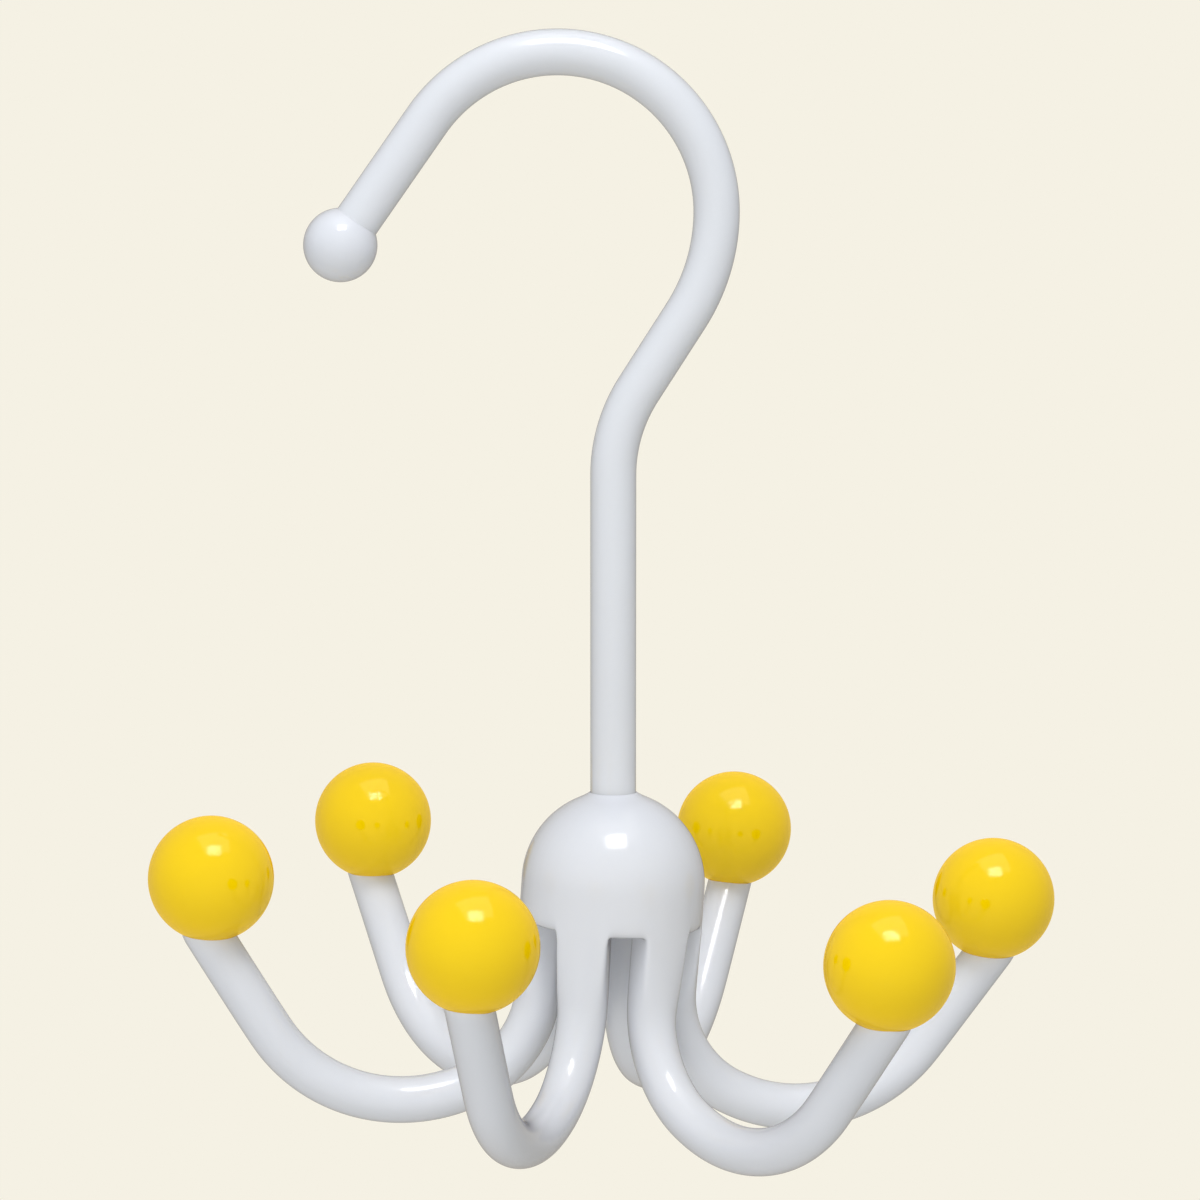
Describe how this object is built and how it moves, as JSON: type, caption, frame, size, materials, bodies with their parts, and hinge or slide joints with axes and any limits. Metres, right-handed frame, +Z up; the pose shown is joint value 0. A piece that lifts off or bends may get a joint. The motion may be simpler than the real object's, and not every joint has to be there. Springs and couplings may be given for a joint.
{
  "type": "accessory hanger",
  "caption": "Swivelling accessory hanger: a rod hook carries a domed hub with J-shaped arms that end in balls, for scarves, ties, belts and bags.",
  "frame": {"origin": "the point at the top of the hook's inner curve where a rail bears", "axes": "+Z up along the stem, +X to the right and +Y away from the viewer; the hook lies in the XZ plane and opens towards -X"},
  "size_m": [0.1612, 0.1564, 0.1967],
  "materials": {
    "coated_rod": "smooth glossy white coating over steel rod",
    "white_plastic": "glossy white moulded plastic",
    "yellow_plastic": "glossy warm yellow moulded plastic",
    "core_plastic": "unpolished grey moulded plastic",
    "nylon": "natural nylon",
    "plated_steel": "bright zinc plating"
  },
  "bodies": {
    "hook": {"hook_rod": "coated_rod", "hook_tip_ball": "white_plastic", "swivel_washer": "plated_steel", "lock_nut": "plated_steel"},
    "hub": {"hub_dome": "white_plastic", "hub_core": "core_plastic", "core_plug": "white_plastic", "swivel_bush": "nylon", "arm_1": "white_plastic", "arm_2": "white_plastic", "arm_3": "white_plastic", "arm_4": "white_plastic", "arm_5": "white_plastic", "arm_6": "white_plastic", "ball_1": "yellow_plastic", "ball_2": "yellow_plastic", "ball_3": "yellow_plastic", "ball_4": "yellow_plastic", "ball_5": "yellow_plastic", "ball_6": "yellow_plastic"}
  },
  "joints": [
    {"name": "hub_swivel", "type": "hinge", "parent": "hook", "child": "hub", "pos_m": [0.00976, 0, -0.14241], "axis": [0, 0, 1], "continuous": true}
  ]
}
